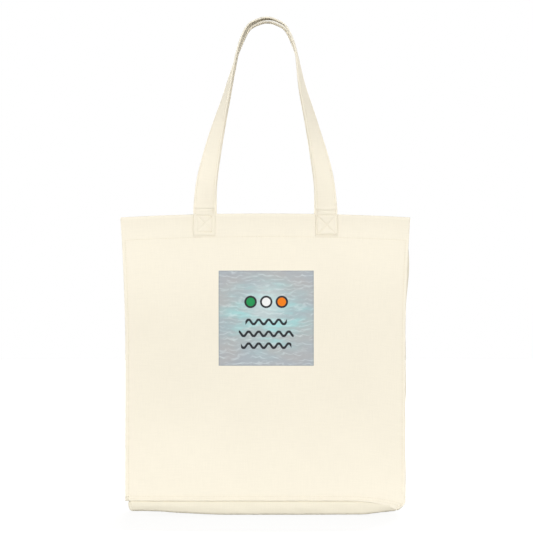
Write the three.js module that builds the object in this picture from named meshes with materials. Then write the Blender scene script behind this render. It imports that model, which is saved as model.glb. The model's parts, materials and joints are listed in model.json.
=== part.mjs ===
// A gusseted canvas tote bag with two shoulder handles, standing on its base.
// Millimetres, +Z up. The origin is under the middle of the base, the front faces -Y and +X is the
// bag's right as seen from the front. Every cloth piece is a thin closed sheet of its own.

import * as THREE from 'three';
import { mergeVertices } from 'three/addons/utils/BufferGeometryUtils.js';

// Body
const MOUTH_HALF_WIDTH = 197;
const BODY_HALF_WIDTH = 189;
const TOP_AT_MIDDLE = 407;
const TOP_AT_CORNER = 402;
const BASE_SEAM_HEIGHT = 20;
const GUSSET_HALF_WIDTH = 47;
const PLEAT_DEPTH = 37; // how far the side gussets fold in at the mouth
const GUSSET_SWELL = 3; // how far they stand out lower down
const PLEAT_START = 230; // the height where the pleat and the flare of the mouth begin
const FLARE_EASE = 1.8; // the walls spread mostly near the mouth
const PLEAT_SHARPNESS = 1.3; // 1 folds the pleat to an edge, 2 rounds it
const SEAM_FLANGE = 3.5; // the pinched edge of a panel, outside the gusset
const BELLY_AT_BASE = 3;
const BELLY_AT_TOP = 14;
const BELLY_SQUARENESS = 4; // a high number keeps the front flat and rounds it near its edges
const CANVAS = 1.2;
const GAP = 0.3; // between pieces that touch
const BEHIND_PANEL = 1.6;
const HEM_DEPTH = CANVAS + 0.8; // the turned-in hem lies a little loose behind the wall

// Base
const BASE_END_RADIUS = 9;
const BASE_SIDE_RADIUS = 16;
const BASE_CORNER_LIFT = 4; // the ends of the base curl up this far
const BASE_FLAT_HALF_LENGTH = 104;
const BASE_LIFT_LENGTH = 70;
const BASE_GAP = 0.8; // between the base's sides and the panels

// Hem
const HEM_HEIGHT = 31;
const HEM_REACH = 0.94; // the share of a panel's width that its turned-in hem covers
const SIDE_HEM_REACH = 0.82;
const HEM_TUCK = 0.4; // the turned-in cloth stops this far below the mouth's edge

// Handles
const STRAP_WIDTH = 30;
const STRAP = 2; // thickness
const FOOT_X = 82.5;
const SEWN_LENGTH = 29;
const FOLD_HEIGHT = 406.3; // where a handle folds over, just above the hem
const FOLD_CLEARANCE = 0.6;
const APEX_Y = -16;
const TURN_HEIGHT = 230; // above the fold, the strap has turned edge-on to the front by here
const TURN_EASE = 1.3; // it turns fastest near the fold
// Half of the handle's arch, from the foot to the top: distance from the middle, height above the fold.
const ARCH = [
  [82.5, 0.8], [82.6, 9], [79.5, 44], [71.5, 88], [61.5, 131], [50.3, 174], [40.7, 218], [34.2, 240],
  [25.4, 257], [12.4, 265],
];
const ARCH_TOP = 267.8;

// Thread
const THREAD = 0.9;
const THREAD_LIFT = 0.4;
const THREAD_THICKNESS = 0.5;
const BOX_STITCH_WIDTH = 24;
const BOX_STITCH_HEIGHT = 22;
const BOX_STITCH_DROP = 0.5; // below the middle of the sewn end
const CROSS_WIDENING = 1.4; // a slanted thread takes up more width
const PANEL_THREAD_REACH = 0.985; // the share of a wall's width that its threads cross
const GUSSET_THREAD_REACH = 0.93;
const HEM_THREAD_DROP = 0.6;
const BASE_THREAD_RISE = 3;
const EDGE_THREAD_INSET = 4.6;
const EDGE_THREAD_FOOT = 6; // above the base seam
const EDGE_THREAD_STOP = 4; // below the hem
const STRAP_THREAD_INSET = 3;

// Facets
const ACROSS_PANEL = 20;
const ACROSS_GUSSET = 8;
const UP_WALL = 16;
const ALONG_HANDLE = 44;
const ACROSS_STRAP = 5;
const ALONG_BASE = 20;
const ACROSS_BASE = 10;
const BASE_END_SHARE = 0.3; // of its facets, for each rounded edge
const BASE_SIDE_SHARE = 0.6;
const UPWARD_BUNCHING = 1.5; // rows of facets are closer together towards the mouth

const { smoothstep, clamp, lerp } = THREE.MathUtils;

const canvas = { color: 0xfaf3e1, roughness: 0.95 };
const gussetCanvas = { color: 0xf0ead5, roughness: 0.95 };
const strapCanvas = { color: 0xf8f1de, roughness: 0.9 };
const cotton = { color: 0xefe6cd, roughness: 0.8 };

// --- the bag's surfaces -------------------------------------------------------------------------

const flare = (z) => smoothstep(z, PLEAT_START, TOP_AT_CORNER);
const spread = (z) => clamp((z - PLEAT_START) / (TOP_AT_CORNER - PLEAT_START), 0, 1) ** FLARE_EASE;
const halfWidth = (z) => lerp(BODY_HALF_WIDTH, MOUTH_HALF_WIDTH, spread(z));
const pleat = (z) => lerp(-GUSSET_SWELL, PLEAT_DEPTH, flare(z));
const cornerDepth = (z) => Math.sqrt(GUSSET_HALF_WIDTH ** 2 - pleat(z) ** 2);
const belly = (z) => lerp(BELLY_AT_BASE, BELLY_AT_TOP, smoothstep(z, 0, TOP_AT_MIDDLE));
const topOf = (u) => lerp(TOP_AT_CORNER, TOP_AT_MIDDLE, 1 - u * u);
const upward = (v, low, top) => lerp(low, top, 1 - (1 - v) ** UPWARD_BUNCHING);

// The front panel's outer face: u runs from -1 at the left seam to 1 at the right seam.
function panelPoint(u, z) {
  const depth = cornerDepth(z) + belly(z) * (1 - Math.abs(u) ** BELLY_SQUARENESS);
  return new THREE.Vector3(u * halfWidth(z), -depth, z);
}

// The right gusset's outer face: w runs from -1 at the front seam to 1 at the back seam.
function gussetPoint(w, z) {
  const fold = pleat(z) * (1 - Math.abs(w) ** PLEAT_SHARPNESS);
  const x = halfWidth(z) - SEAM_FLANGE - fold;
  return new THREE.Vector3(x, w * (cornerDepth(z) - BEHIND_PANEL), z);
}

// The bag's inward normal at a point of one of those faces.
function inward(face, s, z) {
  const step = 1e-3;
  const along = face(s + step, z).sub(face(s - step, z));
  const up = face(s, z + step).sub(face(s, z - step));
  return up.cross(along).normalize();
}

// --- solids -------------------------------------------------------------------------------------

const welded = (geometry) => {
  geometry.deleteAttribute('normal');
  geometry.deleteAttribute('uv');
  return mergeVertices(geometry, 1e-4);
};

// Moves every vertex of a closed solid to where `place` puts it.
function bend(solid, place) {
  const position = solid.getAttribute('position');
  for (let i = 0; i < position.count; i += 1) {
    const p = place(position.getX(i), position.getY(i), position.getZ(i));
    position.setXYZ(i, p.x, p.y, p.z);
  }
  solid.computeVertexNormals();
  return solid;
}

// A block with x from -1 to 1, y from 0 to 1 and z from 0 to 1, in facets, bent by `place`.
function bentBlock(across, up, place) {
  const block = new THREE.BoxGeometry(2, 1, 1, across, 1, up).translate(0, 0.5, 0.5);
  return bend(welded(block), place);
}

// Cloth on a face of the bag, between two depths: 0 is the face, more is inside, less is outside.
function cloth(face, across, up, spot, near, far) {
  return bentBlock(across, up, (s, depth, v) => {
    const [at, z] = spot(s, v);
    return face(at, z).addScaledVector(inward(face, at, z), lerp(near, far, depth));
  });
}

// Lays a flat solid, drawn upright in the X-Z plane, on the outside of the front panel.
function layOnPanel(solid, lift) {
  return bend(welded(solid), (x, y, z) => {
    const u = x / halfWidth(z);
    return panelPoint(u, z).addScaledVector(inward(panelPoint, u, z), y - lift);
  });
}

function threadOnPanel(across, up, spot) {
  return cloth(panelPoint, across, up, spot, -THREAD_LIFT - THREAD_THICKNESS, -THREAD_LIFT);
}

function threadOnGusset(across, up, spot) {
  return cloth(gussetPoint, across, up, spot, -THREAD_LIFT - THREAD_THICKNESS, -THREAD_LIFT);
}

// --- wall pieces --------------------------------------------------------------------------------

const panel = () => cloth(panelPoint, ACROSS_PANEL, UP_WALL,
  (u, v) => [u, upward(v, BASE_SEAM_HEIGHT, topOf(u))], 0, CANVAS);

const gusset = () => cloth(gussetPoint, ACROSS_GUSSET, UP_WALL,
  (w, v) => [w, upward(v, BASE_SEAM_HEIGHT, TOP_AT_CORNER)], 0, CANVAS);

const inHem = (v, top) => top - HEM_TUCK - HEM_HEIGHT * (1 - v);

const panelHem = () => cloth(panelPoint, ACROSS_PANEL, 2,
  (u, v) => [u * HEM_REACH, inHem(v, topOf(u * HEM_REACH))], HEM_DEPTH, HEM_DEPTH + CANVAS);

const gussetHem = () => cloth(gussetPoint, ACROSS_GUSSET, 2,
  (w, v) => [w * SIDE_HEM_REACH, inHem(v, TOP_AT_CORNER)], HEM_DEPTH, HEM_DEPTH + CANVAS);

const panelHemThread = () => threadOnPanel(ACROSS_PANEL, 1,
  (u, v) => [u * PANEL_THREAD_REACH, topOf(u) - HEM_HEIGHT - HEM_THREAD_DROP + THREAD * (v - 1)]);

const gussetHemThread = () => threadOnGusset(ACROSS_GUSSET, 1,
  (w, v) => [w * GUSSET_THREAD_REACH, TOP_AT_CORNER - HEM_HEIGHT + THREAD * (v - 1)]);

const panelBaseThread = () => threadOnPanel(ACROSS_PANEL, 1,
  (u, v) => [u * PANEL_THREAD_REACH, BASE_SEAM_HEIGHT + BASE_THREAD_RISE + THREAD * v]);

const gussetBaseThread = () => threadOnGusset(ACROSS_GUSSET, 1,
  (w, v) => [w * GUSSET_THREAD_REACH, BASE_SEAM_HEIGHT + BASE_THREAD_RISE + THREAD * v]);

// The stitching that pinches one upright edge of the front panel: side is -1 left, 1 right.
function edgeThread(side) {
  const middle = side * (1 - EDGE_THREAD_INSET / BODY_HALF_WIDTH);
  const half = THREAD / 2 / BODY_HALF_WIDTH;
  const foot = BASE_SEAM_HEIGHT + EDGE_THREAD_FOOT;
  const top = TOP_AT_CORNER - HEM_HEIGHT - EDGE_THREAD_STOP;
  return threadOnPanel(1, UP_WALL, (s, v) => [middle + s * half, upward(v, foot, top)]);
}

// --- base ---------------------------------------------------------------------------------------

// Splits a half length into a flat run and a rounded end: [distance from the middle, turn from 0 to 1].
function roundedEnd(share, half, radius, roundShare, shrink) {
  const size = Math.abs(share);
  const flatShare = 1 - roundShare;
  const turn = clamp((size - flatShare) / (1 - flatShare), 0, 1);
  const flat = (half - radius) * Math.min(1, size / flatShare);
  const reach = flat + (radius - shrink) * Math.sin(turn * Math.PI / 2);
  return [Math.sign(share) * reach, turn];
}

// The bottom gusset is a shallow tray: its edges roll up to the seam, and its ends curl up a little.
function bottomGusset() {
  const halfLength = BODY_HALF_WIDTH - SEAM_FLANGE;
  const halfDepth = cornerDepth(BASE_SEAM_HEIGHT) - BASE_GAP;
  return bentBlock(ALONG_BASE, ACROSS_BASE, (u, depth, v) => {
    const inset = depth * CANVAS;
    const [x, endTurn] = roundedEnd(u, halfLength, BASE_END_RADIUS, BASE_END_SHARE, inset);
    const [y, sideTurn] = roundedEnd(1 - 2 * v, halfDepth, BASE_SIDE_RADIUS, BASE_SIDE_SHARE, inset);
    const flatEnd = BASE_FLAT_HALF_LENGTH + BASE_LIFT_LENGTH;
    const lift = BASE_CORNER_LIFT * smoothstep(Math.abs(x), BASE_FLAT_HALF_LENGTH, flatEnd);
    const roll = 1 - Math.cos(Math.max(endTurn, sideTurn) * Math.PI / 2);
    return new THREE.Vector3(x, y, lerp(lift + inset, BASE_SEAM_HEIGHT - GAP, roll));
  });
}

// --- handles ------------------------------------------------------------------------------------

const strapFootY = panelPoint(FOOT_X / halfWidth(FOLD_HEIGHT), FOLD_HEIGHT).y - GAP - STRAP / 2;

// The strap leans in as it rises, until it stands beside the other handle's strap.
function archPoint([x, height]) {
  const lean = Math.sin(clamp(height / ARCH_TOP, 0, 1) * Math.PI / 2) ** 2;
  return new THREE.Vector3(x, lerp(strapFootY, APEX_Y, lean), FOLD_HEIGHT + height);
}

const leftHalf = ARCH.map(([x, height]) => archPoint([-x, height]));
const rightHalf = ARCH.map(archPoint).reverse();
const archCurve = new THREE.CatmullRomCurve3([...leftHalf, archPoint([0, ARCH_TOP]), ...rightHalf]);

// The strap's middle and its own directions, a share t of the way along the arch from the left foot.
function strapFrame(t) {
  const middle = archCurve.getPointAt(t);
  const along = archCurve.getTangentAt(t);
  const front = new THREE.Vector3(0, -1, 0);
  const offArch = along.clone().cross(new THREE.Vector3(0, 1, 0)).normalize();
  const rise = clamp((middle.z - FOLD_HEIGHT - FOLD_CLEARANCE) / TURN_HEIGHT, 0, 1);
  const turn = (1 - (1 - rise) ** TURN_EASE) * Math.PI / 2;
  const outer = front.multiplyScalar(Math.cos(turn)).addScaledVector(offArch, Math.sin(turn));
  outer.addScaledVector(along, -outer.dot(along)).normalize();
  const side = outer.clone().cross(along);
  return { middle, outer, side };
}

// A band along the arch: across the strap from a to b, and from low to high off its middle layer.
function bandOnArch(columns, a, b, low, high) {
  return bentBlock(columns, ALONG_HANDLE, (s, depth, t) => {
    const { middle, outer, side } = strapFrame(t);
    const across = lerp(a, b, (s + 1) / 2);
    return middle.addScaledVector(side, across).addScaledVector(outer, lerp(low, high, depth));
  });
}

const strapLoop = () => bandOnArch(ACROSS_STRAP, -STRAP_WIDTH / 2, STRAP_WIDTH / 2, -STRAP / 2, STRAP / 2);

function strapEdgeThread(edge) {
  const middle = edge * (STRAP_WIDTH / 2 - STRAP_THREAD_INSET);
  const low = STRAP / 2 + GAP;
  return bandOnArch(1, middle - THREAD / 2, middle + THREAD / 2, low, low + THREAD_THICKNESS);
}

const sewnTop = FOLD_HEIGHT - FOLD_CLEARANCE;

function sewnEnd(side) {
  const end = new THREE.BoxGeometry(STRAP_WIDTH, STRAP, SEWN_LENGTH, 2, 1, 2);
  return layOnPanel(end.translate(side * FOOT_X, -STRAP / 2, sewnTop - SEWN_LENGTH / 2), GAP);
}

// A rectangle of stitching with a cross inside it: a plate with four triangular windows.
function boxStitch(side) {
  const [a, b] = [BOX_STITCH_WIDTH / 2, BOX_STITCH_HEIGHT / 2];
  const points = (corners) => corners.map(([x, y]) => new THREE.Vector2(x, y));
  const plate = new THREE.Shape(points([[-a, -b], [a, -b], [a, b], [-a, b]]));
  const [rim, cross] = [THREAD, THREAD * CROSS_WIDENING];
  const window = (corners) => plate.holes.push(new THREE.Path(points(corners)));
  for (const s of [-1, 1]) {
    window([[s * (a - rim), -b + rim + cross], [s * cross, 0], [s * (a - rim), b - rim - cross]]);
    window([[-a + rim + cross, s * (b - rim)], [0, s * cross], [a - rim - cross, s * (b - rim)]]);
  }
  const stitch = new THREE.ExtrudeGeometry(plate, { depth: THREAD_THICKNESS, bevelEnabled: false });
  stitch.rotateX(Math.PI / 2);
  stitch.translate(side * FOOT_X, 0, sewnTop - SEWN_LENGTH / 2 - BOX_STITCH_DROP);
  return layOnPanel(stitch, GAP + STRAP + GAP);
}

// --- assembly -----------------------------------------------------------------------------------

function piece(group, name, geometry, look) {
  const mesh = new THREE.Mesh(geometry, new THREE.MeshStandardMaterial({ ...look, metalness: 0 }));
  mesh.name = name;
  group.add(mesh);
}

// The panel, hem and handle of the front or the back. The back is the front turned half round.
function addFace(bag, name, turn) {
  const face = new THREE.Group();
  face.rotation.z = turn;
  const sideName = (side) => (side * Math.cos(turn) < 0 ? 'left' : 'right');
  piece(face, `${name}_panel`, panel(), canvas);
  piece(face, `${name}_hem`, panelHem(), canvas);
  piece(face, `${name}_hem_thread`, panelHemThread(), cotton);
  piece(face, `${name}_base_thread`, panelBaseThread(), cotton);
  piece(face, `${name}_handle`, strapLoop(), strapCanvas);
  piece(face, `${name}_handle_inner_thread`, strapEdgeThread(-1), cotton);
  piece(face, `${name}_handle_outer_thread`, strapEdgeThread(1), cotton);
  for (const side of [-1, 1]) {
    piece(face, `${name}_${sideName(side)}_edge_thread`, edgeThread(side), cotton);
    piece(face, `${name}_handle_${sideName(side)}_end`, sewnEnd(side), strapCanvas);
    piece(face, `${name}_handle_${sideName(side)}_box_stitch`, boxStitch(side), cotton);
  }
  bag.add(face);
}

// The gusset and hem of the right or the left side. The left is the right turned half round.
function addSide(bag, name, turn) {
  const side = new THREE.Group();
  side.rotation.z = turn;
  piece(side, `${name}_gusset`, gusset(), gussetCanvas);
  piece(side, `${name}_hem`, gussetHem(), canvas);
  piece(side, `${name}_hem_thread`, gussetHemThread(), cotton);
  piece(side, `${name}_base_thread`, gussetBaseThread(), cotton);
  bag.add(side);
}

const bag = new THREE.Group();
addFace(bag, 'front', 0);
addFace(bag, 'back', Math.PI);
addSide(bag, 'right', 0);
addSide(bag, 'left', Math.PI);
piece(bag, 'bottom_gusset', bottomGusset(), gussetCanvas);

export default bag;
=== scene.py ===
import json
import math

import bpy
import numpy as np
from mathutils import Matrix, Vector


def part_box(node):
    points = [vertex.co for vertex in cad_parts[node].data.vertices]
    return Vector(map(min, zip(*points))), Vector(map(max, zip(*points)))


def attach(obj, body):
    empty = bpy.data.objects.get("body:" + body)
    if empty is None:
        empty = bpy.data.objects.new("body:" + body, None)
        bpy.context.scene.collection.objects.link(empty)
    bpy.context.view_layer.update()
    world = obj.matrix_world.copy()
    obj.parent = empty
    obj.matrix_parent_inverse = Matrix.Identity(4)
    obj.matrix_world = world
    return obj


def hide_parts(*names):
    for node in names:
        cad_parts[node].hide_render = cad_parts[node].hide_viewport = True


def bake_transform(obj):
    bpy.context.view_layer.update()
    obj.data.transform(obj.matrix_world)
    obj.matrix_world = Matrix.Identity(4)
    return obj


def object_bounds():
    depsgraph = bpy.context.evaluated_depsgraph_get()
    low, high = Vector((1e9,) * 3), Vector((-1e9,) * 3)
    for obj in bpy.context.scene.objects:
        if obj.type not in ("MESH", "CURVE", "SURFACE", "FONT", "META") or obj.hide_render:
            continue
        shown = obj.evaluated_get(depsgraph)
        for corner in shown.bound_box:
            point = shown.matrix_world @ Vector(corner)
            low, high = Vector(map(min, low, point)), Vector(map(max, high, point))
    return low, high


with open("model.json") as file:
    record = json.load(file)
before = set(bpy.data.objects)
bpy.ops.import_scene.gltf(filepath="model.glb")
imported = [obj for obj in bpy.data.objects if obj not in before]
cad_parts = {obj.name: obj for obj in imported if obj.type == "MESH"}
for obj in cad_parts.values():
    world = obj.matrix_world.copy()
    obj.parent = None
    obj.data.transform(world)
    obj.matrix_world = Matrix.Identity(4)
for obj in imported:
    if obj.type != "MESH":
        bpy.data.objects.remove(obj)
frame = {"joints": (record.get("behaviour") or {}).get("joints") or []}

# A gusseted canvas tote bag, standing on its base. Metres, +Z up, the front faces -Y. Every wall is one
# cloth with its hem turned in, each handle is one folded strap, and every row of sewing is separate stitches.

cad_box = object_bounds()
MM = 0.001

# --- sizes ---

panel_low, panel_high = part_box("front_panel")
MOUTH_HALF = panel_high[0]
SEAM_Z = panel_low[2]
TOP_MIDDLE = panel_high[2]
TOP_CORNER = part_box("right_gusset")[1][2]
FLANGE = 3.5 * MM  # the pinched edge of a panel, outside the gusset
BODY_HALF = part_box("bottom_gusset")[1][0] + FLANGE
GUSSET_HALF = 47 * MM
PINCHED = 0.06  # how far a gusset's cloth runs past its seams, in half widths
PLEAT_DEPTH = 37 * MM
GUSSET_SWELL = 3 * MM  # how far a gusset stands out below its pleat
PLEAT_START = 0.230
PUFF_Z, PUFF_REACH = 0.336, 0.045  # where the gussets stand out most, and over what height
FLARE_EASE = 1.8
BELLY_AT_BASE = 3 * MM
BELLY_AT_TOP = 14 * MM
HEM = 31 * MM
CORNER_DIP = 12 * MM  # how far the front's right-hand corner reaches below the base seam
WALL_FOOT = SEAM_Z - 0.6 * MM  # where the walls' lower edge turns under

CLOTH = 0.8 * MM  # thickness
LAYER = 0.86 * MM  # from the middle of one layer of cloth to the next
HEM_TURN = 1.25 * LAYER  # radius of the fold along the mouth
EDGE_TURN = 0.9 * LAYER  # radius where a cut edge turns under

BASE_ROWS = (2.6 * MM, 6.0 * MM)  # two rows of sewing, above the base seam
EDGE_ROW = 4.4 * MM  # the row that pinches an upright edge, from that edge
STITCH_RADIUS = 0.27 * MM
STITCH_LENGTH = 2.6 * MM
STITCH_PITCH = 3.3 * MM

STRAP_HALF = 15 * MM
STRAP_THICK = 2.1 * MM
SEWN_THICK = 1.5 * MM  # where sewing presses the strap flat
STRAP_ROW = 12.0 * MM  # its rows of sewing, from its middle
STRAP_ROUND = 1.1 * MM  # its rounded long edges
BEND = 16 * MM  # how much of a handle bends when it folds down
# The box of sewing on a sewn end, by side: width, height, and the middle's place from the foot's middle
# and from the world's floor.
BOX_SEWING = {-1: (22.5 * MM, 22 * MM, -1.0 * MM, 0.3932), 1: (26.5 * MM, 26.5 * MM, 0.4 * MM, 0.3918)}
FOOT_X = sum(p[0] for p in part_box("front_handle_right_end")) / 2
SEWN_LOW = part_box("front_handle_left_end")[0][2]
hinge = next(j for j in frame["joints"] if j["name"] == "front_handle_fold")
FOLD_Y, FOLD_Z = hinge["pos_m"][1], hinge["pos_m"][2]
APEX_Y = -16 * MM
TURN_HEIGHT = 0.230  # a handle has turned edge-on this far above the fold
TURN_EASE = 1.3
ARCH_TOP = 0.2678
# Half of the handle's arch, in mm: distance from the middle, height above the fold.
ARCH = [(82.5, 0.8), (82.6, 9), (79.5, 44), (71.5, 88), (61.5, 131), (50.3, 174), (40.7, 218), (34.2, 240),
        (25.4, 257), (12.4, 265)]


def smooth(t):
    """From 0 to 1, with soft ends."""
    t = np.clip(t, 0, 1)
    return t * t * (3 - 2 * t)


def mix(a, b, t):
    return a + (b - a) * t


def steady(value):
    return lambda t: value + 0 * t


def across(low, high):
    """A function that runs from low to high as its argument runs from 0 to 1."""
    return lambda t: mix(low, high, t)


def bump(t, middle, width):
    """A soft bump of height 1 round the middle."""
    return np.exp(-(((t - middle) / width) ** 2))


def ripples(a, b, wavelength, seed, waves=9):
    """Smooth unevenness from -1 to 1, mostly, over two coordinates in metres."""
    r = np.random.default_rng(seed)
    total = 0
    for _ in range(waves):
        turn, phase = r.uniform(0, 2 * math.pi, 2)
        k = 2 * math.pi / (wavelength * r.uniform(0.7, 1.5))
        total = total + np.sin(k * (a * math.cos(turn) + b * math.sin(turn)) + phase)
    return total * 1.5 / waves


# --- the bag's surfaces ---


def flare(z):
    return smooth((z - PLEAT_START) / (TOP_CORNER - PLEAT_START))


def half_width(z):
    """It spreads towards the mouth, and a corner that reaches below the base seam rounds inwards."""
    spread = np.clip((z - PLEAT_START) / (TOP_CORNER - PLEAT_START), 0, 1) ** FLARE_EASE
    corner = 9.5 * MM * np.clip((SEAM_Z - 2 * MM - z) / (11.3 * MM), 0, 1.3) ** 1.6
    return mix(BODY_HALF, MOUTH_HALF, spread) - corner


def pleat(z):
    return mix(-GUSSET_SWELL, PLEAT_DEPTH, flare(z))


def corner_depth(z):
    return np.sqrt(GUSSET_HALF**2 - pleat(z) ** 2)


def belly(z):
    return mix(BELLY_AT_BASE, BELLY_AT_TOP, smooth(z / TOP_MIDDLE))


def top_of(u):
    return mix(TOP_CORNER, TOP_MIDDLE, 1 - u * u)


def hem_line(u):
    return top_of(u) - HEM


def stack(x, y, z):
    return np.stack(np.broadcast_arrays(x, y, z), axis=-1)


def panel_relief(u, z, seed):
    """How far the cloth of a panel stands off its plain shape: sag, soft dents and pulled folds."""
    x = u * BODY_HALF
    inside = smooth((1 - np.abs(u)) / 0.12) * smooth((z - SEAM_Z) / 0.05)
    free = inside * smooth((hem_line(u) - z) / 0.05)
    broad = 1.5 * ripples(x, z, 0.21, seed) + 0.8 * ripples(x, z * 0.6, 0.10, seed + 1)
    relief = free * broad
    low = smooth((0.11 - z) / 0.08)
    drop = np.clip(hem_line(u) - z, 0, None)
    for side in (-1, 1):
        # The bottom corners are creased by the turn into the base.
        near = smooth((side * u - 0.62) / 0.3) * inside
        relief = relief + 0.9 * low * near * np.sin((x * side - 0.7 * z) / (7.5 * MM) + seed)
        # Soft folds hang below the handles' feet.
        off = x - side * FOOT_X
        fan = np.cos(off / (9 * MM + 0.22 * drop)) * bump(off, 0, 26 * MM + 0.3 * drop)
        relief = relief + 0.45 * fan * np.exp(-drop / 0.06) * smooth(drop / (14 * MM))
    # The hem waves a little between the handles and the corners.
    held = 1 - bump(np.abs(x), FOOT_X, 24 * MM)
    wave = 1.1 * ripples(x, x * 0, 0.16, seed + 2, 5) + 0.35 * ripples(x, z, 0.05, seed + 3, 7)
    relief = relief + wave * held * smooth((z - hem_line(u) + 0.05) / 0.06) * smooth((1 - np.abs(u)) / 0.08)
    return relief * MM


def sewing_relief(distance, along, seed):
    """The cloth dips along a row of sewing and puckers beside it."""
    dip = -0.15 * bump(distance, 0, 1.0 * MM)
    pucker = ripples(along, along * 0, 9 * MM, seed, 6) * bump(distance, 0, 5.5 * MM) * 0.22
    return (dip + pucker) * MM


def panel_skin(u, z, seed):
    """Outer face of the front panel: u from -1 at the left seam to 1 at the right seam."""
    u, z = np.broadcast_arrays(np.asarray(u, float), np.asarray(z, float))
    width = half_width(z)
    depth = corner_depth(z) + belly(z) * (1 - np.abs(u) ** 4)
    relief = panel_relief(u, z, seed)
    relief = relief + sewing_relief(z - hem_line(u), u * width, seed + 4)
    for row in BASE_ROWS:
        relief = relief + 0.8 * sewing_relief(z - SEAM_Z - row, u * width, seed + 5)
    edge = (1 - np.abs(u)) * width - EDGE_ROW
    relief = relief + sewing_relief(edge, z, seed + 6) * smooth((hem_line(u) + 4 * MM - z) / (8 * MM))
    return stack(u * width, -(depth + relief), z)


def gusset_edge(z):
    """How far the gusset's wall starts from the panel's edge: nothing is pinched inside the hem."""
    return mix(FLANGE, 1.1 * MM, smooth((z - TOP_CORNER + HEM + 6 * MM) / (10 * MM)))


def gusset_relief(w, z, seed, peek):
    y = w * GUSSET_HALF
    free = smooth((1 - np.abs(w)) / 0.3) * smooth((z - SEAM_Z) / 0.04)
    relief = free * (1.3 * ripples(y, z * 0.5, 0.09, seed) + 0.5 * ripples(y, z, 0.035, seed + 1))
    # The cloth buckles softly where the pleat begins.
    start = bump(z, PLEAT_START + 0.05, 0.045)
    relief = relief + free * start * 1.6 * np.cos(y / (8 * MM)) * (1 - 0.5 * np.abs(w))
    # It stands out past the panel's edge, most where the pleat begins.
    puff = 1 - np.abs(np.abs(w) * 1.25 - 1) ** 3
    out = 3.6 + 6.3 * bump(z, PUFF_Z, PUFF_REACH)
    fade = smooth((1 - np.abs(w)) / 0.12) * smooth((TOP_CORNER - HEM - z) / 0.012)
    relief = relief + peek * out * puff * fade
    return relief * MM


def gusset_skin(w, z, seed, peek):
    """Outer face of the right gusset. |w| is 1 at the seams, and past that lies the pinched edge."""
    w, z = np.broadcast_arrays(np.asarray(w, float), np.asarray(z, float))
    inner = np.clip(w, -1, 1)
    past = np.clip(np.abs(w) - 1, 0, None) / PINCHED  # 0 to 1 over the pinched edge
    edge = gusset_edge(z)
    fold = pleat(z) * (1 - (np.abs(inner) ** 2 + 0.004) ** 0.62)
    relief = gusset_relief(inner, z, seed, peek)
    relief = relief + sewing_relief(z - TOP_CORNER + HEM, inner * GUSSET_HALF, seed + 4)
    for row in BASE_ROWS:
        relief = relief + 0.8 * sewing_relief(z - SEAM_Z - row, inner * GUSSET_HALF, seed + 5)
    x = half_width(z) - edge - fold + relief + past * (edge - 1.0 * MM)
    y = inner * (corner_depth(z) - 2.2 * MM) + np.sign(w) * np.minimum(past * 4, 1) * 1.2 * MM
    return stack(x, y, z)


def inward_normal(skin, s, z):
    """The unit normal of a skin, pointing into the bag."""
    step = 0.5 * MM
    share = 0.002
    along = skin(s + share, z) - skin(s - share, z)
    up = skin(s, z + step) - skin(s, z - step)
    n = np.cross(up, along)
    return n / np.linalg.norm(n, axis=-1, keepdims=True)


# --- mesh helpers ---


def new_mesh(name, points, faces, material, uv=None):
    mesh = bpy.data.meshes.new(name)
    mesh.from_pydata(np.asarray(points).reshape(-1, 3).tolist(), [], [list(map(int, f)) for f in faces])
    mesh.polygons.foreach_set("use_smooth", [True] * len(mesh.polygons))
    if uv is not None:
        layer = mesh.uv_layers.new(name="Cloth")
        corner = np.empty(len(mesh.loops), int)
        mesh.loops.foreach_get("vertex_index", corner)
        layer.data.foreach_set("uv", np.asarray(uv).reshape(-1, 2)[corner].ravel())
    mesh.update()
    piece = bpy.data.objects.new(name, mesh)
    bpy.context.scene.collection.objects.link(piece)
    mesh.materials.append(material)
    return piece


def grid_faces(rows, columns, close=False):
    index = np.arange(rows * columns).reshape(rows, columns)
    if close:
        index = np.concatenate([index, index[:, :1]], axis=1)
    quads = [index[:-1, :-1], index[:-1, 1:], index[1:, 1:], index[1:, :-1]]
    return np.stack([q.ravel() for q in quads], axis=1)


def metres_along(points, axis):
    """Distance along a grid of points in one of its two directions."""
    step = np.linalg.norm(np.diff(points, axis=axis), axis=-1)
    start = np.zeros_like(np.take(step, [0], axis=axis))
    return np.concatenate([start, np.cumsum(step, axis=axis)], axis=axis)


def stations(low, high, step, lines=(), fine=0.7 * MM, reach=3.5 * MM):
    """Evenly spaced values, closer together round the given lines."""
    values = [np.linspace(low, high, int(round((high - low) / step)) + 1)]
    for line in lines:
        near = np.arange(line - reach, line + reach + fine / 2, fine)
        values.append(near[(near > low) & (near < high)])
    merged = np.sort(np.concatenate(values))
    keep = np.concatenate([[True], np.diff(merged) > 0.35 * fine])
    keep[-1] = True
    return merged[keep]


def turned_edge(radius, back):
    """A cloth edge that turns over and runs back: [(distance past the turn's start, depth), ...]."""
    angles = np.linspace(0, math.pi, 6)[1:]
    turn = [(radius * math.sin(a), radius * (1 - math.cos(a))) for a in angles]
    return turn + [(-back * k / 3, 2 * radius) for k in (1, 2, 3)]


def thicken(piece):
    solid = piece.modifiers.new("thickness", "SOLIDIFY")
    solid.thickness = CLOTH
    solid.offset = 0


# --- materials ---


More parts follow.
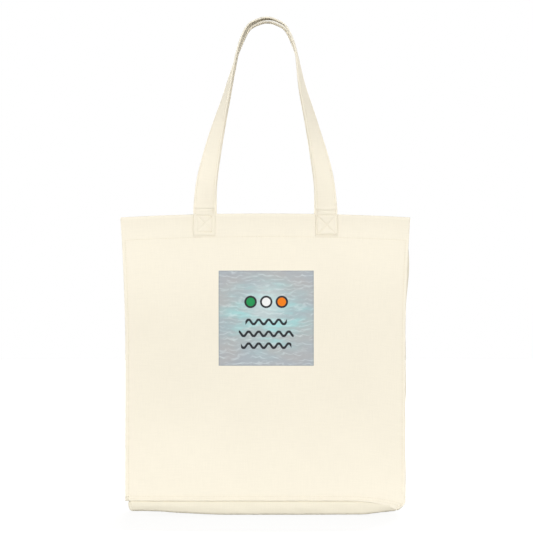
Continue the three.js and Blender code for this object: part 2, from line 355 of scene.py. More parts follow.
class Nodes:
    """Short spellings for building one material's nodes."""

    def __init__(self, name):
        self.material = bpy.data.materials.new(name)
        self.material.use_nodes = True
        self.tree = self.material.node_tree
        self.shader = self.tree.nodes["Principled BSDF"]

    def add(self, kind, **settings):
        node = self.tree.nodes.new(kind)
        for key, value in settings.items():
            setattr(node, key, value)
        return node

    def put(self, socket, value):
        if isinstance(value, bpy.types.NodeSocket):
            self.tree.links.new(value, socket)
        else:
            socket.default_value = value

    def settings(self, *pairs):
        """Sets plain values on the shader's own sockets."""
        for socket, value in pairs:
            self.shader.inputs[socket].default_value = value

    def math(self, operation, a, b=0.0, c=0.0):
        node = self.add("ShaderNodeMath", operation=operation)
        for socket, value in zip(node.inputs, (a, b, c)):
            self.put(socket, value)
        return node.outputs[0]

    def ramp(self, value, low, high, out_low=0.0, out_high=1.0):
        node = self.add("ShaderNodeMapRange", interpolation_type="SMOOTHSTEP")
        for socket, v in zip(node.inputs, (value, low, high, out_low, out_high)):
            self.put(socket, v)
        return node.outputs[0]

    def blend(self, factor, a, b, mode="MIX"):
        node = self.add("ShaderNodeMix", data_type="RGBA", blend_type=mode)
        self.put(node.inputs[0], factor)
        self.put(node.inputs[6], a)
        self.put(node.inputs[7], b)
        return node.outputs[2]

    def tinted(self, colour, shade):
        """A colour made lighter or darker by a shade."""
        tint = self.add("ShaderNodeCombineColor")
        for socket in tint.inputs:
            self.put(socket, shade)
        return self.blend(1.0, colour, tint.outputs[0], "MULTIPLY")

    def axes(self, vector):
        node = self.add("ShaderNodeSeparateXYZ")
        self.put(node.inputs[0], vector)
        return node.outputs

    def noise(self, vector, scale, detail=2.0, roughness=0.5):
        node = self.add("ShaderNodeTexNoise")
        self.put(node.inputs["Vector"], vector)
        for key, value in (("Scale", scale), ("Detail", detail), ("Roughness", roughness)):
            node.inputs[key].default_value = value
        return node.outputs["Fac"]

    def with_relief(self, height, strength, distance):
        """The finished material, with a relief of that height."""
        bumped = self.add("ShaderNodeBump")
        bumped.inputs["Strength"].default_value = strength
        bumped.inputs["Distance"].default_value = distance
        self.put(bumped.inputs["Height"], height)
        self.put(self.shader.inputs["Normal"], bumped.outputs[0])
        return self.material

    def stretch(self, vector, x, y, shift=0.0):
        node = self.add("ShaderNodeMapping")
        self.put(node.inputs["Vector"], vector)
        node.inputs["Location"].default_value = (shift, shift, 0)
        node.inputs["Scale"].default_value = (x, y, 1)
        return node.outputs["Vector"]


WEAVE_PITCH = 0.95 * MM  # from one thread to the next
FLECK = (0.42, 0.30, 0.16, 1)


def weave(n, uv):
    """Height of a plain weave: threads one way pass over and under the threads the other way."""
    sideways, lengthways, _ = n.axes(uv)
    a = n.math("MULTIPLY", sideways, math.pi / WEAVE_PITCH)
    b = n.math("MULTIPLY", lengthways, math.pi / WEAVE_PITCH)
    warp = n.math("ABSOLUTE", n.math("SINE", a))
    weft = n.math("ABSOLUTE", n.math("SINE", b))
    over = n.math("MULTIPLY", n.math("COSINE", a), n.math("COSINE", b))
    share = n.math("MULTIPLY_ADD", over, 0.5, 0.5)
    left = n.math("MULTIPLY", warp, share)
    right = n.math("MULTIPLY", weft, n.math("SUBTRACT", 1.0, share))
    return n.math("ADD", left, right)


def cloth_material(name, colour, paint=None):
    """Natural cotton canvas: a plain weave with uneven threads, soft changes of tone and a few flecks, and
    painted shade in the weave's hollows.
    """
    n = Nodes(name)
    uv = n.add("ShaderNodeUVMap", uv_map="Cloth").outputs[0]
    height = weave(n, uv)
    warp_slub = n.noise(n.stretch(uv, 900, 45), 1.0, 3.0)
    weft_slub = n.noise(n.stretch(uv, 45, 900), 1.0, 3.0)
    slub = n.math("ADD", warp_slub, weft_slub)
    cloud = n.noise(uv, 9.0, 3.0)
    fleck = n.ramp(n.noise(uv, 650.0, 1.0), 0.78, 0.84)

    # Painted shade: the colour is darker where the weave lies low, between and under the threads. The slub
    # and cloud factors below are the cloth's own uneven tone.
    shade = n.math("MULTIPLY_ADD", height, 0.075, 0.928)
    shade = n.math("MULTIPLY", shade, n.ramp(slub, 0.7, 1.3, 0.984, 1.013))
    shade = n.math("MULTIPLY", shade, n.ramp(cloud, 0.3, 0.7, 0.99, 1.008))
    base = n.tinted((*colour, 1), shade)
    base = n.blend(n.math("MULTIPLY", fleck, 0.35), base, FLECK)
    if paint:
        base = paint(n, base, shade)
    n.put(n.shader.inputs["Base Color"], base)

    n.put(n.shader.inputs["Roughness"], n.ramp(slub, 0.7, 1.3, 0.97, 0.86))
    n.settings(("Sheen Weight", 0.07), ("Sheen Roughness", 0.5), ("Sheen Tint", (1.0, 0.97, 0.9, 1)),
               ("Specular IOR Level", 0.18))
    return n.with_relief(n.math("MULTIPLY_ADD", slub, 0.35, height), 0.35, 0.25 * MM)


def thread_material(colour):
    """Twisted cotton thread."""
    n = Nodes("cotton_thread")
    place = n.add("ShaderNodeTexCoord").outputs["Object"]
    fuzz = n.noise(place, 1800.0, 2.0)
    n.put(n.shader.inputs["Base Color"], n.tinted((*colour, 1), n.ramp(fuzz, 0.3, 0.7, 0.86, 1.06)))
    n.put(n.shader.inputs["Roughness"], n.ramp(fuzz, 0.3, 0.7, 0.7, 0.85))
    n.settings(("Sheen Weight", 0.2), ("Specular IOR Level", 0.25))
    return n.with_relief(fuzz, 0.4, 0.1 * MM)


INK_SOFT = 0.3 * MM  # half the softness of the print's edges
PRINT_HALF = 64 * MM
PRINT_RIM = 62.8 * MM  # half the square inside its darker rim
PRINT_X, PRINT_Z = 1.2 * MM, 0.266  # the middle of the printed square
# Two sets of water lines: distance from line to line, shift of their unevenness, strength.
WATER_LINES = ((6.6 * MM, 0.0, 0.34), (8.3 * MM, 4.7, 0.26))
# The wavy strokes: height above the middle and half length of each, then the line that all three follow.
STROKES = ((-5 * MM, 28 * MM), (-21 * MM, 37 * MM), (-37 * MM, 34 * MM))
STROKE_RISE, STROKE_WAVE, STROKE_HALF = 2.9 * MM, 13.5 * MM, 1.6 * MM
# The dots: height above the middle, radius inside and outside the outline, how soft the edges are.
DOT_ROW, DOT_FACE, DOT_OUTLINE, DOT_SOFT = 22 * MM, 5.4 * MM, 8.0 * MM, 0.7 * MM
GREEN, WHITE, ORANGE = (0.025, 0.30, 0.095, 1), (0.86, 0.87, 0.86, 1), (0.86, 0.22, 0.015, 1)
DOTS = ((-21 * MM, GREEN), (0.0, WHITE), (21 * MM, ORANGE))

DARK_INK = (0.035, 0.037, 0.042, 1)
RIM_INK = (0.22, 0.25, 0.29, 1)
COOL_GROUND, WARM_GROUND = (0.405, 0.445, 0.48, 1), (0.455, 0.452, 0.455, 1)
TEAL, PALE_MIDDLE = (0.37, 0.69, 0.695, 1), (0.68, 0.74, 0.74, 1)
LINE_SHADE, LINE_PALE = (0.30, 0.33, 0.36, 1), (0.74, 0.83, 0.84, 1)


def painted_square(n, cloth, shade):
    """A printed square on the outside of the front panel: pale water lines, with three plain dots
    above three plain wavy strokes."""
    place_x, place_y, place_z = n.axes(n.add("ShaderNodeTexCoord").outputs["Object"])
    x = n.math("SUBTRACT", place_x, PRINT_X)
    z = n.math("SUBTRACT", place_z, PRINT_Z)
    ink = water(n, x, z)
    ink = n.blend(dark_strokes(n, x, z), ink, DARK_INK)
    ink = dots(n, x, z, ink)
    rim = n.math("SUBTRACT", 1.0, in_square(n, x, z, PRINT_RIM))
    ink = n.blend(n.math("MULTIPLY", rim, 0.45), ink, RIM_INK)

    # The ink is darkened by the cloth's shade too: painted shade in the weave's hollows, and the cloth's own
    # uneven tone.
    ink = n.tinted(ink, n.math("MULTIPLY_ADD", shade, 0.6, 0.4))
    on_front = n.math("LESS_THAN", place_y, 0.0)
    return n.blend(n.math("MULTIPLY", in_square(n, x, z, PRINT_HALF), on_front), cloth, ink)


def water(n, x, z):
    """A grey ground with streaks of teal in the middle, crossed by thin pale broken lines."""
    flat = n.add("ShaderNodeCombineXYZ")
    n.put(flat.inputs[0], x)
    n.put(flat.inputs[1], z)
    plane = flat.outputs[0]
    warmth = n.ramp(n.noise(n.stretch(plane, 13, 24), 1.0, 2.0), 0.35, 0.62)
    ink = n.blend(warmth, COOL_GROUND, WARM_GROUND)

    away = n.math("MULTIPLY_ADD", x, x, n.math("MULTIPLY", square(n, z, 3 * MM), 1.7))
    glow = n.ramp(n.math("SQRT", away), 0.022, 0.088, 1.0, 0.0)
    streaks = n.ramp(n.noise(n.stretch(plane, 17, 62), 1.0, 4.0, 0.6), 0.40, 0.66)
    teal = n.math("MULTIPLY", n.math("MULTIPLY_ADD", streaks, 0.80, 0.26), glow)
    ink = n.blend(teal, ink, TEAL)
    middle = n.math("SQRT", n.math("MULTIPLY_ADD", x, x, square(n, z, 19 * MM)))
    ink = n.blend(n.ramp(middle, 0.0, 0.038, 0.62, 0.0), ink, PALE_MIDDLE)
    for pitch, shift, weight in WATER_LINES:
        ink = water_lines(n, x, z, plane, pitch, shift, weight, ink)
    return ink


def water_lines(n, x, z, plane, pitch, shift, weight, ink):
    """Scalloped lines across the print, pale on top and a little darker below, with gaps in them."""
    drift = n.math("MULTIPLY", n.noise(n.stretch(plane, 26, 60, shift), 1.0, 2.0), 9.0)
    scallop = n.math("ABSOLUTE", n.math("SINE", n.math("MULTIPLY_ADD", x, 215.0, drift)))
    wander = n.math("MULTIPLY", n.noise(n.stretch(plane, 30, 46, shift), 1.0, 2.0), 17.0)
    height = n.math("MULTIPLY_ADD", z, 2 * math.pi / pitch, n.math("MULTIPLY_ADD", scallop, 1.7, wander))
    wave = n.math("SINE", height)
    gaps = n.ramp(n.noise(n.stretch(plane, 52, 110, shift), 1.0, 3.0), 0.42, 0.60)
    pale = n.math("MULTIPLY", n.math("MULTIPLY", n.ramp(wave, 0.55, 1.0), gaps), weight)
    dark = n.math("MULTIPLY", n.math("MULTIPLY", n.ramp(wave, -0.3, -1.0), gaps), 0.4 * weight)
    ink = n.blend(dark, ink, LINE_SHADE)
    return n.blend(pale, ink, LINE_PALE)


def square(n, value, offset):
    shifted = n.math("SUBTRACT", value, offset)
    return n.math("MULTIPLY", shifted, shifted)


def within(n, value, half):
    """1 where the value is between -half and half."""
    return n.ramp(n.math("ABSOLUTE", value), half - INK_SOFT, half + INK_SOFT, 1.0, 0.0)


def in_square(n, x, z, half):
    return n.math("MULTIPLY", within(n, x, half), within(n, z, half))


def dark_strokes(n, x, z):
    """Three wavy strokes, one above the other."""
    turn = 2 * math.pi / STROKE_WAVE
    angle = n.math("MULTIPLY", x, turn)
    wave = n.math("MULTIPLY", n.math("SINE", angle), STROKE_RISE)
    slope = n.math("MULTIPLY", n.math("COSINE", angle), STROKE_RISE * turn)
    steep = n.math("SQRT", n.math("MULTIPLY_ADD", slope, slope, 1.0))
    total = 0.0
    for height, half in STROKES:
        off = n.math("DIVIDE", n.math("SUBTRACT", n.math("SUBTRACT", z, height), wave), steep)
        stroke = n.math("MULTIPLY", within(n, off, STROKE_HALF), within(n, x, half))
        total = n.math("MAXIMUM", total, stroke)
    return total


def dots(n, x, z, ink):
    """Three outlined dots in a row."""
    for middle, colour in DOTS:
        away = n.math("SQRT", n.math("ADD", square(n, x, middle), square(n, z, DOT_ROW)))
        for radius, paint in ((DOT_OUTLINE, DARK_INK), (DOT_FACE, colour)):
            ink = n.blend(n.ramp(away, radius, radius + DOT_SOFT, 1.0, 0.0), ink, paint)
    return ink


CANVAS = (0.90, 0.844, 0.712)
panel_cloth = cloth_material("panel_canvas", CANVAS, paint=painted_square)
plain_cloth = cloth_material("plain_canvas", CANVAS)
# The gussets and the base are the walls' canvas painted darker: painted shade for their faces that turn
# sideways and down.
gusset_cloth = cloth_material("gusset_canvas", (0.838, 0.786, 0.648))
strap_cloth = cloth_material("strap_canvas", (0.90, 0.842, 0.706))
thread = thread_material((0.84, 0.77, 0.62))

# --- camera ---

CAMERA_DISTANCE = 3.0  # from the front of the bag
VIEW_WIDTH = 0.717  # what the frame takes in there
CAMERA_X = 1.6 * MM
CAMERA_Z = 0.3356
SENSOR = 36

camera = bpy.data.objects.new("camera", bpy.data.cameras.new("camera"))
bpy.context.scene.collection.objects.link(camera)
camera.location = (CAMERA_X, cad_box[0][1] - CAMERA_DISTANCE, CAMERA_Z)
camera.rotation_euler = (math.pi / 2, 0, 0)
camera.data.sensor_width = SENSOR
camera.data.lens = SENSOR * CAMERA_DISTANCE / VIEW_WIDTH
camera.data.clip_end = 100
bpy.context.scene.camera = camera

# --- walls ---


def hem_rows():
    """The hem as rows past the wall's top: how far below the top, how deep, and the share of the width."""
    rows = []
    for a in np.linspace(0, math.pi, 8):
        reach = 1 - 0.05 * (a / math.pi) ** 2
        rows.append((HEM_TURN * (1 - math.sin(a)), HEM_TURN * (1 - math.cos(a)), reach))
    inner = 2 * HEM_TURN
    down = np.concatenate([np.linspace(2.2, 27, 12), [28.2, 29.2, 29.8]]) * MM
    rows += [(drop, inner, 0.95 - 0.02 * drop / HEM) for drop in down]
    # Its raw edge is turned in again, between the hem and the wall.
    raw = 0.48 * LAYER
    for a in np.linspace(0, math.pi, 5)[1:]:
        rows.append((HEM - 1.0 * MM + raw * math.sin(a), inner - raw * (1 - math.cos(a)), 0.93))
    rows += [(drop * MM, inner - 2 * raw, 0.93) for drop in (28, 24, 20)]
    return rows


def wall_cloth(name, skin, spread, columns, low_of, top_of_column, heights, material, reach_scale=1.0):
    """One wall: cloth with its bottom edge turned under and its hem turned in.
    columns holds (place across, depth) pairs and heights runs from 0 at the base seam to 1 at the top."""
    place = np.array([c[0] for c in columns])
    depth = np.array([c[1] for c in columns])
    low, top = low_of(place), top_of_column(place)
    rows = []
    for back, deep in reversed(turned_edge(EDGE_TURN, 5 * MM)):
        rows.append((low + EDGE_TURN - back, deep + 0 * place, 1.0))
    for h in heights:
        rows.append((mix(low + EDGE_TURN, top - HEM_TURN, h), 0 * place, 1.0))
    for drop, deep, reach in hem_rows():
        rows.append((top - drop, deep + 0 * place, 1 - (1 - reach) * reach_scale))
    points = []
    for z, deep, reach in rows:
        at = place * reach
        points.append(skin(at, z) + inward_normal(skin, at, z) * (deep + depth + CLOTH / 2)[:, None])
    points = np.array(points)
    across_cloth = np.broadcast_to(place * spread, points.shape[:2])
    up_cloth = metres_along(points, 0).mean(axis=1, keepdims=True) + 0 * place
    uv = np.stack([across_cloth, up_cloth], axis=-1)
    return new_mesh(name, points, grid_faces(*points.shape[:2]), material, uv)


def turned_half(points):
    """The same points turned half round about Z."""
    return points * np.array([-1, -1, 1])


def half_round(skin, turn):
    return (lambda s, z: turned_half(skin(s, z))) if turn else skin


def front_low(u):
    """The base seam, which runs down into the front's right-hand corner."""
    return WALL_FOOT - CORNER_DIP * np.clip((u - 0.55) / 0.42, 0, 1.02) ** 2.2


def right_low(w):
    """The base seam on the right side, which starts from that corner."""
    return WALL_FOOT - CORNER_DIP * smooth((-w - 0.2) / 0.8)


def level_low(s):
    return WALL_FOOT + 0 * s


def panel_columns():
    """Places across a panel, with a turned edge at each side."""
    start = BODY_HALF - EDGE_TURN
    middle = stations(-start, start, 2.4 * MM, (-BODY_HALF + EDGE_ROW, BODY_HALF - EDGE_ROW))
    edge = [((start + past) / BODY_HALF, deep) for past, deep in turned_edge(EDGE_TURN, 1.6 * MM)]
    left = [(-place, deep) for place, deep in reversed(edge)]
    return left + [(x / BODY_HALF, 0.0) for x in middle] + edge


def wall_heights(low, top):
    rows = [SEAM_Z + row for row in BASE_ROWS]
    z = stations(low, top, 2.4 * MM, (*rows, TOP_MIDDLE - HEM, TOP_CORNER - HEM))
    return (z - low) / (top - low)


def add_panel(name, turn, seed, material):
    skin = half_round(lambda u, z: panel_skin(u, z, seed), turn)
    low = level_low if turn else front_low
    heights = wall_heights(SEAM_Z, TOP_MIDDLE)
    cloth = wall_cloth(f"{name}_panel_cloth", skin, BODY_HALF, panel_columns(), low, top_of, heights,
                       material)
    thicken(cloth)
    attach(cloth, "bag")
    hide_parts(f"{name}_panel", f"{name}_hem")
    return cloth, skin


def add_gusset(name, turn, seed, peek, material):
    skin = half_round(lambda w, z: gusset_skin(w, z, seed, peek), turn)
    middle = stations(-1.0, 1.0, 2.2 * MM / GUSSET_HALF)
    edge = [1 + PINCHED * share for share in (0.12, 0.25, 0.6, 1.0)]
    columns = [(w, 0.0) for w in (*(-w for w in reversed(edge)), *middle, *edge)]
    low = level_low if turn else right_low
    heights = wall_heights(SEAM_Z, TOP_CORNER)
    cloth = wall_cloth(f"{name}_gusset_cloth", skin, GUSSET_HALF, columns, low, steady(TOP_CORNER), heights,
                       material, reach_scale=3.4)
    thicken(cloth)
    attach(cloth, "bag")
    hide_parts(f"{name}_gusset", f"{name}_hem")
    return cloth, skin


front_cloth, front_skin = add_panel("front", False, 11, panel_cloth)
back_cloth, back_skin = add_panel("back", True, 29, plain_cloth)
right_cloth, right_skin = add_gusset("right", False, 43, 1.0, gusset_cloth)
left_cloth, left_skin = add_gusset("left", True, 57, 0.55, gusset_cloth)

# --- base ---

BASE_RADIUS = 4.6 * MM
BASE_CORNER = 6 * MM  # in plan
BASE_INSET = 1.6 * MM  # how far its sides stand inside the walls
NECK = 7 * MM  # its edge runs up behind the walls
RIM = SEAM_Z - 1.0 * MM
LEFT_CURL, RIGHT_CURL = 4.6 * MM, 4.4 * MM  # how far its ends lift off the ground


def rolled(run, half):
    """A place across the base, from the run of cloth from its middle: (distance out, height)."""
    turn = BASE_RADIUS * math.pi / 2
    past = np.abs(run) - (half - BASE_RADIUS)
    angle = np.clip(past / BASE_RADIUS, 0, math.pi / 2)
    up = np.clip(past - turn, 0, None)
    wall = RIM - BASE_RADIUS
    swell = 1.1 * MM * np.sin(np.clip(up / wall, 0, 1) * math.pi) ** 0.8
    tuck = 2.1 * MM * smooth((up - wall + 1.6 * MM) / (2.4 * MM))
    flat = np.minimum(np.abs(run), half - BASE_RADIUS)
    out = flat + BASE_RADIUS * np.sin(angle) + swell - tuck
    return np.sign(run) * out, BASE_RADIUS * (1 - np.cos(angle)) + up


def round_corner(x, y, half_x, half_y):
    """Rounds the base's upright corners."""
    a = np.clip((np.abs(x) - half_x + BASE_CORNER) / BASE_CORNER, 0, 1.2)
    b = np.clip((np.abs(y) - half_y + BASE_CORNER) / BASE_CORNER, 0, 1.2)
    new_x = np.abs(x) - BASE_CORNER * a * (1 - np.sqrt(np.clip(1 - b * b / 2, 0, 1)))
    new_y = np.abs(y) - BASE_CORNER * b * (1 - np.sqrt(np.clip(1 - a * a / 2, 0, 1)))
    return np.sign(x) * new_x, np.sign(y) * new_y


def base_stations(half):
    edge = BASE_RADIUS * (math.pi / 2 - 1) + RIM - BASE_RADIUS + NECK
    flat = np.linspace(-(half - BASE_RADIUS), half - BASE_RADIUS, int(2 * half / (3 * MM)))
    roll = np.arange(1, 27) / 26 * (edge + BASE_RADIUS)
    return np.concatenate([flat[0] - roll[::-1], flat, flat[-1] + roll])


def add_base():
    """One cloth that lies on the ground, rolls up at its four sides and runs up behind the walls."""
    half_x = BODY_HALF - FLANGE - BASE_INSET
    half_y = corner_depth(SEAM_Z) - BASE_INSET
    run_x, run_y = np.meshgrid(base_stations(half_x), base_stations(half_y))
    x, up_x = rolled(run_x, half_x)
    y, up_y = rolled(run_y, half_y)
    top = RIM + NECK
    height = top * np.minimum(1, ((up_x / top) ** 6 + (up_y / top) ** 6) ** (1 / 6))
    # Its long sides belly out with the walls.
    y = y * (1 + 2.2 * MM / half_y * (1 - np.clip(np.abs(x) / half_x, 0, 1) ** 4))
    # It is rounder at its right-hand end, and both ends curl up a little.
    right = smooth((x - 0.09) / 0.09)
    lift = LEFT_CURL * smooth((-x - 0.05) / 0.125) + RIGHT_CURL * smooth((x - 0.125) / 0.055)
    x, y = round_corner(x, y, half_x, half_y + 1.0 * MM)
    low = smooth((SEAM_Z - height) / SEAM_Z)
    x = x - 6.5 * MM * right * smooth((np.abs(x) - 0.165) / 0.02) * low
    # The underside is dented near its ends, and the band at its sides is uneven.
    dents = ripples(x, y, 0.06, 71) + 0.5 * ripples(x, y, 0.025, 72)
    floor = smooth((BASE_RADIUS - height) / BASE_RADIUS)
    z = CLOTH / 2 + height + lift * smooth((RIM - height) / RIM)
    z = z + 0.35 * MM * (1 + dents) * floor * smooth((np.abs(x) - 0.05) / 0.1)
    band = bump(height, 9 * MM, 7 * MM)
    uneven = MM * (0.9 * ripples(x, z, 0.07, 73) + 0.45 * ripples(x, z, 0.026, 74)) * band
    y = y + np.sign(run_y) * uneven * smooth(up_y / (2 * MM))
    x = x + np.sign(run_x) * uneven * 0.5 * smooth(up_x / (2 * MM))
    uv = np.stack([run_x, run_y], axis=-1)
    base = new_mesh("bottom_gusset_cloth", stack(x, y, z), grid_faces(*x.shape), gusset_cloth, uv)
    thicken(base)
    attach(base, "bag")
    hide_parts("bottom_gusset")
    return base


base_cloth = add_base()

# --- stitches ---

# Half of a stitch, from its buried end: place along it in lengths, rise and thickness in radii.
HALF_STITCH = ((-0.5, -1.1, 0.7), (-0.42, 0.1, 0.95), (-0.18, 0.62, 1.05))


def stitch_mesh(name, rows, length=STITCH_LENGTH):
    """Separate stitches, each a short arched thread. rows holds (points, directions, normals)."""
    profile = [*HALF_STITCH, *((-run, rise, thick) for run, rise, thick in HALF_STITCH[::-1])]
    sides = 6
    angle = np.arange(sides) * 2 * math.pi / sides
    points, faces, count = [], [], 0
    rings = len(profile)
    tube = grid_faces(rings, sides, close=True)
    caps = [list(range(sides))[::-1], list(range((rings - 1) * sides, rings * sides))]
    for at, along, normal in rows:
        side = np.cross(normal, along)
        ring_points = []
        for run, rise, thick in profile:
            centre = at + along * (run * length) + normal * (rise * STITCH_RADIUS)
            radius = STITCH_RADIUS * thick
            for a in angle:
                ring_points.append(centre + side * (math.cos(a) * radius) + normal * (math.sin(a) * radius))
        block = np.stack(ring_points, axis=1)
        for k in range(len(at)):
            points.append(block[k])
            faces.extend((tube + count).tolist())
            faces.extend([[i + count for i in cap] for cap in caps])
            count += rings * sides
    return new_mesh(name, np.concatenate(points), faces, thread)


def unit(v):
    return v / np.linalg.norm(v, axis=-1, keepdims=True)


def along_line(line):
    """Distance along a line of points."""
    return np.concatenate([[0], np.cumsum(np.linalg.norm(np.diff(line, axis=0), axis=1))])


def row_on_skin(skin, place, height, pitch=STITCH_PITCH, lift=0.0):
    """Stitches along a line on a wall. place and height are functions of a share from 0 to 1."""
    t = np.linspace(0, 1, 1200)
    run = along_line(skin(place(t), height(t)))
    number = max(2, int(run[-1] / pitch))
    centres = np.interp((np.arange(number) + 0.5) / number * run[-1], run, t)
    step = 0.5 * pitch / run[-1]
    s, z = place(centres), height(centres)
    normal = -inward_normal(skin, s, z)
    ahead = skin(place(centres + step), height(centres + step))
    behind = skin(place(centres - step), height(centres - step))
    along = unit(ahead - behind)
    at = (ahead + behind) / 2 + normal * lift
    return at, along, normal


def add_stitches(name, rows, node, length=STITCH_LENGTH):
    piece = stitch_mesh(name, rows, length)
    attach(piece, "bag")
    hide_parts(node)


def base_row(low, place, row):
    """The height of a row of sewing above the base seam, which follows most of the cloth's dip."""
    return lambda t: SEAM_Z + row + 0 * t + (low(place(t)) - SEAM_Z) * 0.8


def edge_row(side, height):
    """The place across a panel of the row that pinches its upright edge."""
    return lambda t: side * (1 - EDGE_ROW / half_width(height(t)))


def add_wall_stitches():
    """The hem rows, the rows above the base seam and the rows that pinch the panels' upright edges."""
    reach = 0.985  # of a panel's half width
    upright = across(SEAM_Z + 8 * MM, TOP_CORNER - HEM - 2 * MM)
    panels = (
        ("front", front_skin, front_low, ("left", "right")),
        ("back", back_skin, steady(SEAM_Z), ("right", "left")),
    )
    place = across(-reach, reach)
    for name, skin, low, words in panels:
        hem = row_on_skin(skin, place, lambda t: hem_line(place(t)))
        add_stitches(f"{name}_hem_stitches", [hem], f"{name}_hem_thread")
        base = [row_on_skin(skin, place, base_row(low, place, row)) for row in BASE_ROWS]
        add_stitches(f"{name}_base_stitches", base, f"{name}_base_thread")
        for side, word in zip((-1, 1), words):
            edge = row_on_skin(skin, edge_row(side, upright), upright)
            add_stitches(f"{name}_{word}_edge_stitches", [edge], f"{name}_{word}_edge_thread")
    for name, skin in (("right", right_skin), ("left", left_skin)):
        hem = row_on_skin(skin, across(-0.95, 0.95), steady(TOP_CORNER - HEM))
        add_stitches(f"{name}_hem_stitches", [hem], f"{name}_hem_thread")
        base = [row_on_skin(skin, across(-0.93, 0.93), steady(SEAM_Z + row)) for row in BASE_ROWS]
        add_stitches(f"{name}_base_stitches", base, f"{name}_base_thread")


add_wall_stitches()

# --- handles ---


def spline(points):
    """A smooth curve through points, sampled more closely near its ends."""
    p = np.array(points, float)
    p = np.concatenate([[2 * p[0] - p[1]], p, [2 * p[-1] - p[-2]]])
    t = np.linspace(0, 1, 24, endpoint=False)[:, None]
    parts = []
    for a, b, c, d in zip(p[:-3], p[1:-2], p[2:-1], p[3:]):
        squared = (2 * a - 5 * b + 4 * c - d) * t**2
        cubed = (3 * b - a - 3 * c + d) * t**3
        parts.append(0.5 * (2 * b + (c - a) * t + squared + cubed))
    line = np.concatenate([*parts, p[-2:-1]])
    run = along_line(line)
    close = 42 * MM  # the length at each end
    fine = np.arange(0, close, 0.75 * MM)
    middle = np.linspace(close, run[-1] - close, int(run[-1] / (1.7 * MM)))
    at = np.concatenate([fine, middle, run[-1] - fine[::-1]])
    return np.stack([np.interp(at, run, line[:, k]) for k in range(3)], axis=1)


def strap_route(skin, back):
    """The strap's middle line, its direction, outward normal and sideways direction.
    It runs from one sewn end over the arch to the other, as the front handle lies."""
    rest = SEWN_THICK / 2 + 0.1 * MM
    sewn_z = np.linspace(SEWN_LOW, FOLD_Z - 4 * MM, 5)
    u = FOOT_X / half_width(sewn_z)
    left_foot = skin(-u, sewn_z) - inward_normal(skin, -u, sewn_z) * rest
    right_foot = skin(u, sewn_z) - inward_normal(skin, u, sewn_z) * rest
    foot_y = (left_foot[-1, 1] + right_foot[-1, 1]) / 2
    # The back handle spreads a little more and hangs a little lower.
    widen, droop = (1.02, 1.6 * MM) if back else (1.0, 0.0)
    points = [(x * MM * mix(1, widen, min(1, h / 40)), h * MM * (1 - droop / ARCH_TOP)) for x, h in ARCH]
    lean = [mix(foot_y, APEX_Y, math.sin(h / ARCH_TOP * math.pi / 2) ** 2) for _, h in points]
    half = [(x, y, FOLD_Z + h) for (x, h), y in zip(points, lean)]
    arch = [(-x, y, z) for x, y, z in half] + [(0, APEX_Y, FOLD_Z + ARCH_TOP - droop)] + half[::-1]
    line = spline(np.concatenate([left_foot[:-1], arch, right_foot[:-1][::-1]]))
    height = line[:, 2] - FOLD_Z
    sway = 2.6 * MM * smooth((height - 0.17) / 0.07)
    line[:, 0] += -sway if back else sway
    along = unit(np.gradient(line, axis=0))
    rise = np.clip((height - 0.6 * MM) / TURN_HEIGHT, 0, 1)
    turn = (1 - (1 - rise) ** TURN_EASE) * math.pi / 2
    off_arch = unit(np.cross(along, [0, 1, 0]))
    # The front handle twists a little, so its underside shows more on the left. The back one tips outwards.
    to_right = smooth((line[:, 0] + 0.045) / 0.075)
    twist = np.radians(mix(5.0, -3.5, to_right)) * smooth((height - 0.10) / 0.10)
    tip = math.radians(10) * smooth((height - 0.2) / 0.05)
    turn = turn + (tip if back else twist)
    outer = np.array([0, -1, 0]) * np.cos(turn)[:, None] + off_arch * np.sin(turn)[:, None]
    outer = unit(outer - along * (outer * along).sum(axis=1, keepdims=True))
    return line, along, outer, np.cross(outer, along)


def strap_ring():
    """Points round the strap's section: (sideways, share of the half thickness, which face)."""
    flat = STRAP_HALF - STRAP_ROUND
    top = stations(-flat, flat, 1.0 * MM, (-STRAP_ROW, STRAP_ROW), 0.5 * MM, 1.2 * MM)
    arc = np.linspace(math.pi / 2, -math.pi / 2, 7)[1:-1]
    right = [(flat + STRAP_ROUND * math.cos(a), math.sin(a), 0) for a in arc]
    face = [(w, 1.0, 1) for w in top]
    back = [(w, -1.0, -1) for w in top[::-1]]
    left = [(-w, -n, 0) for w, n, _ in right]
    return face + right + back + left


def box_lines(side):
    """The sewing on a strap's end: a rectangle with a cross in it. x counts from the foot's middle."""
    width, height, x, z = BOX_SEWING[side]
    a, b = width / 2, height / 2
    corners = [(x - a, z - b), (x + a, z - b), (x + a, z + b), (x - a, z + b)]
    return [(corners[i], corners[(i + 1) % 4]) for i in range(4)] + [corners[::2], corners[1::2]]


def sewing_depth(x, z):
    """How deep box sewing presses into a strap's end, at places x and z."""
    side = -1 if x.mean() < 0 else 1
    near = np.full(x.shape, 1.0)
    for a, b in box_lines(side):
        a, b = np.array(a) + [side * FOOT_X, 0], np.array(b) + [side * FOOT_X, 0]
        run = b - a
        t = np.clip(((x - a[0]) * run[0] + (z - a[1]) * run[1]) / (run @ run), 0, 1)
        near = np.minimum(near, np.hypot(x - a[0] - t * run[0], z - a[1] - t * run[1]))
    return 0.55 * MM * bump(near, 0, 0.85 * MM) - 0.18 * MM * bump(near, 3.2 * MM, 1.8 * MM)


def crease(height, w, side):
    """The slanting crease where a handle bends out of the hem."""
    if side < 0:
        line = 6.8 * MM - 0.05 * w
    else:
        line = 4.4 * MM - 0.13 * np.clip(w + 2 * MM, -1, 0)
    off = height - line
    return -0.5 * MM * bump(off, 0, 0.8 * MM) + 0.4 * MM * bump(off, 2.6 * MM, 1.7 * MM)


